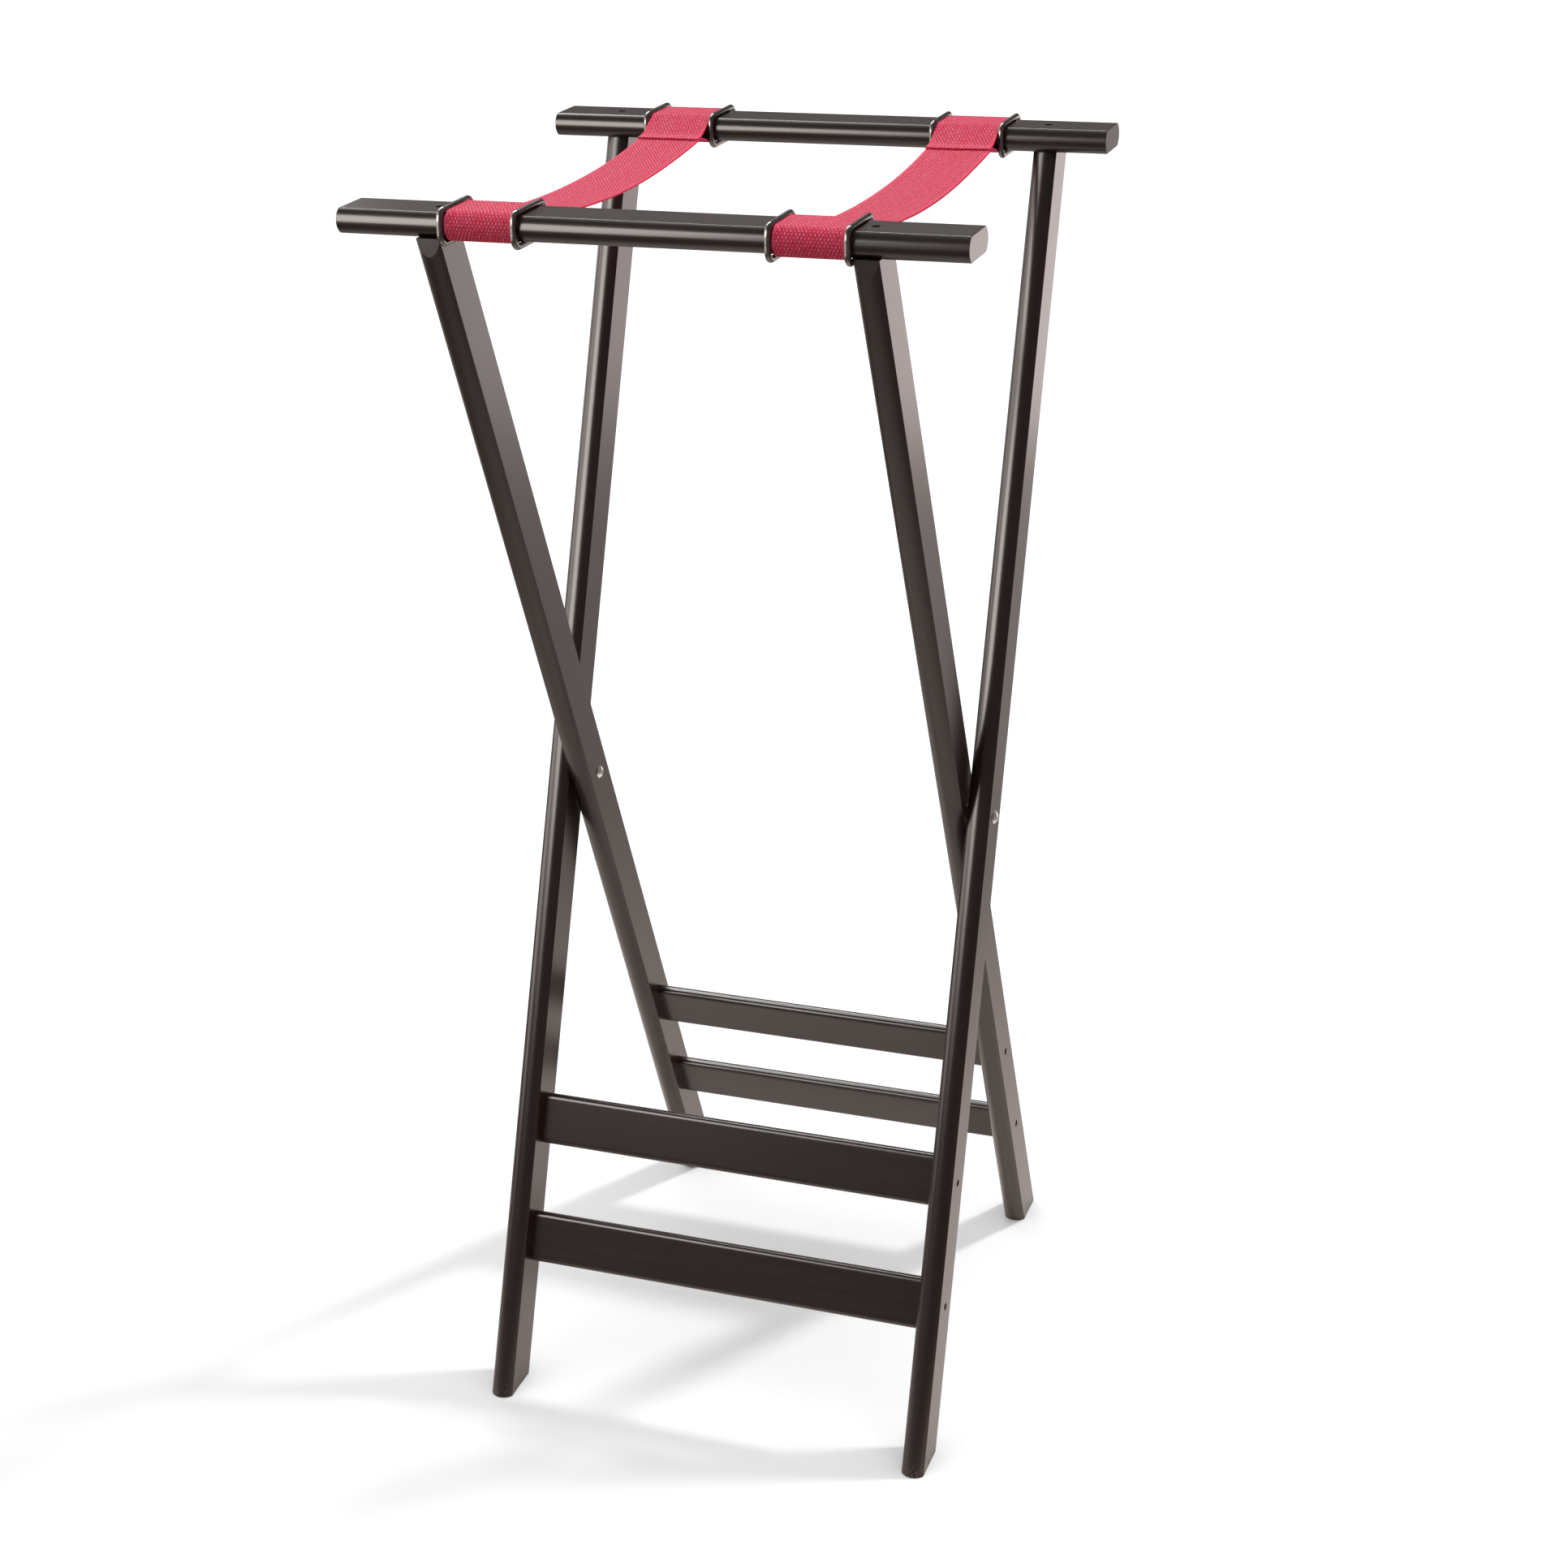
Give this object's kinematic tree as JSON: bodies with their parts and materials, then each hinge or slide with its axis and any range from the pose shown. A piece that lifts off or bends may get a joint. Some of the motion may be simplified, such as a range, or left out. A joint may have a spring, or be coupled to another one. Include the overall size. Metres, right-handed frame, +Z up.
{
  "type": "folding luggage rack",
  "caption": "Folding luggage stand: crossed dark wood frames hinged on pivot bolts, with level top rails joined by webbing straps and cross slats between the legs.",
  "frame": {"origin": "on the floor, midway between the feet", "axes": "+X along the rails to the right, +Y from the front rail to the back rail, +Z up"},
  "size_m": [0.4598, 0.4348, 0.995],
  "materials": {
    "espresso_wood": "satin",
    "webbing": "woven",
    "keeper_wire": "polished",
    "screw_steel": "satin",
    "pivot_steel": "satin"
  },
  "bodies": {
    "outer_frame": {"outer_rail": "espresso_wood", "outer_leg_left": "espresso_wood", "outer_leg_right": "espresso_wood", "outer_slat_upper": "espresso_wood", "outer_slat_lower": "espresso_wood", "outer_rail_screws": "screw_steel", "outer_slat_screws": "screw_steel", "outer_ring_left_a": "keeper_wire", "outer_ring_left_b": "keeper_wire", "outer_ring_right_a": "keeper_wire", "outer_ring_right_b": "keeper_wire", "pivot_bolt_left": "pivot_steel", "pivot_bolt_right": "pivot_steel", "pivot_nut_left": "pivot_steel", "pivot_nut_right": "pivot_steel", "pivot_washer_left": "pivot_steel", "pivot_washer_right": "pivot_steel", "strap_left": "webbing", "strap_right": "webbing"},
    "inner_frame": {"inner_rail": "espresso_wood", "inner_leg_left": "espresso_wood", "inner_leg_right": "espresso_wood", "inner_slat_upper": "espresso_wood", "inner_slat_lower": "espresso_wood", "inner_rail_screws": "screw_steel", "inner_slat_screws": "screw_steel", "inner_ring_left_a": "keeper_wire", "inner_ring_left_b": "keeper_wire", "inner_ring_right_a": "keeper_wire", "inner_ring_right_b": "keeper_wire"}
  },
  "joints": [
    {"name": "fold", "type": "hinge", "parent": "outer_frame", "child": "inner_frame", "pos_m": [0, 0, 0.484], "axis": [-1, 0, 0], "range_deg": [0, 35], "deforming": ["strap_left", "strap_right"]}
  ]
}
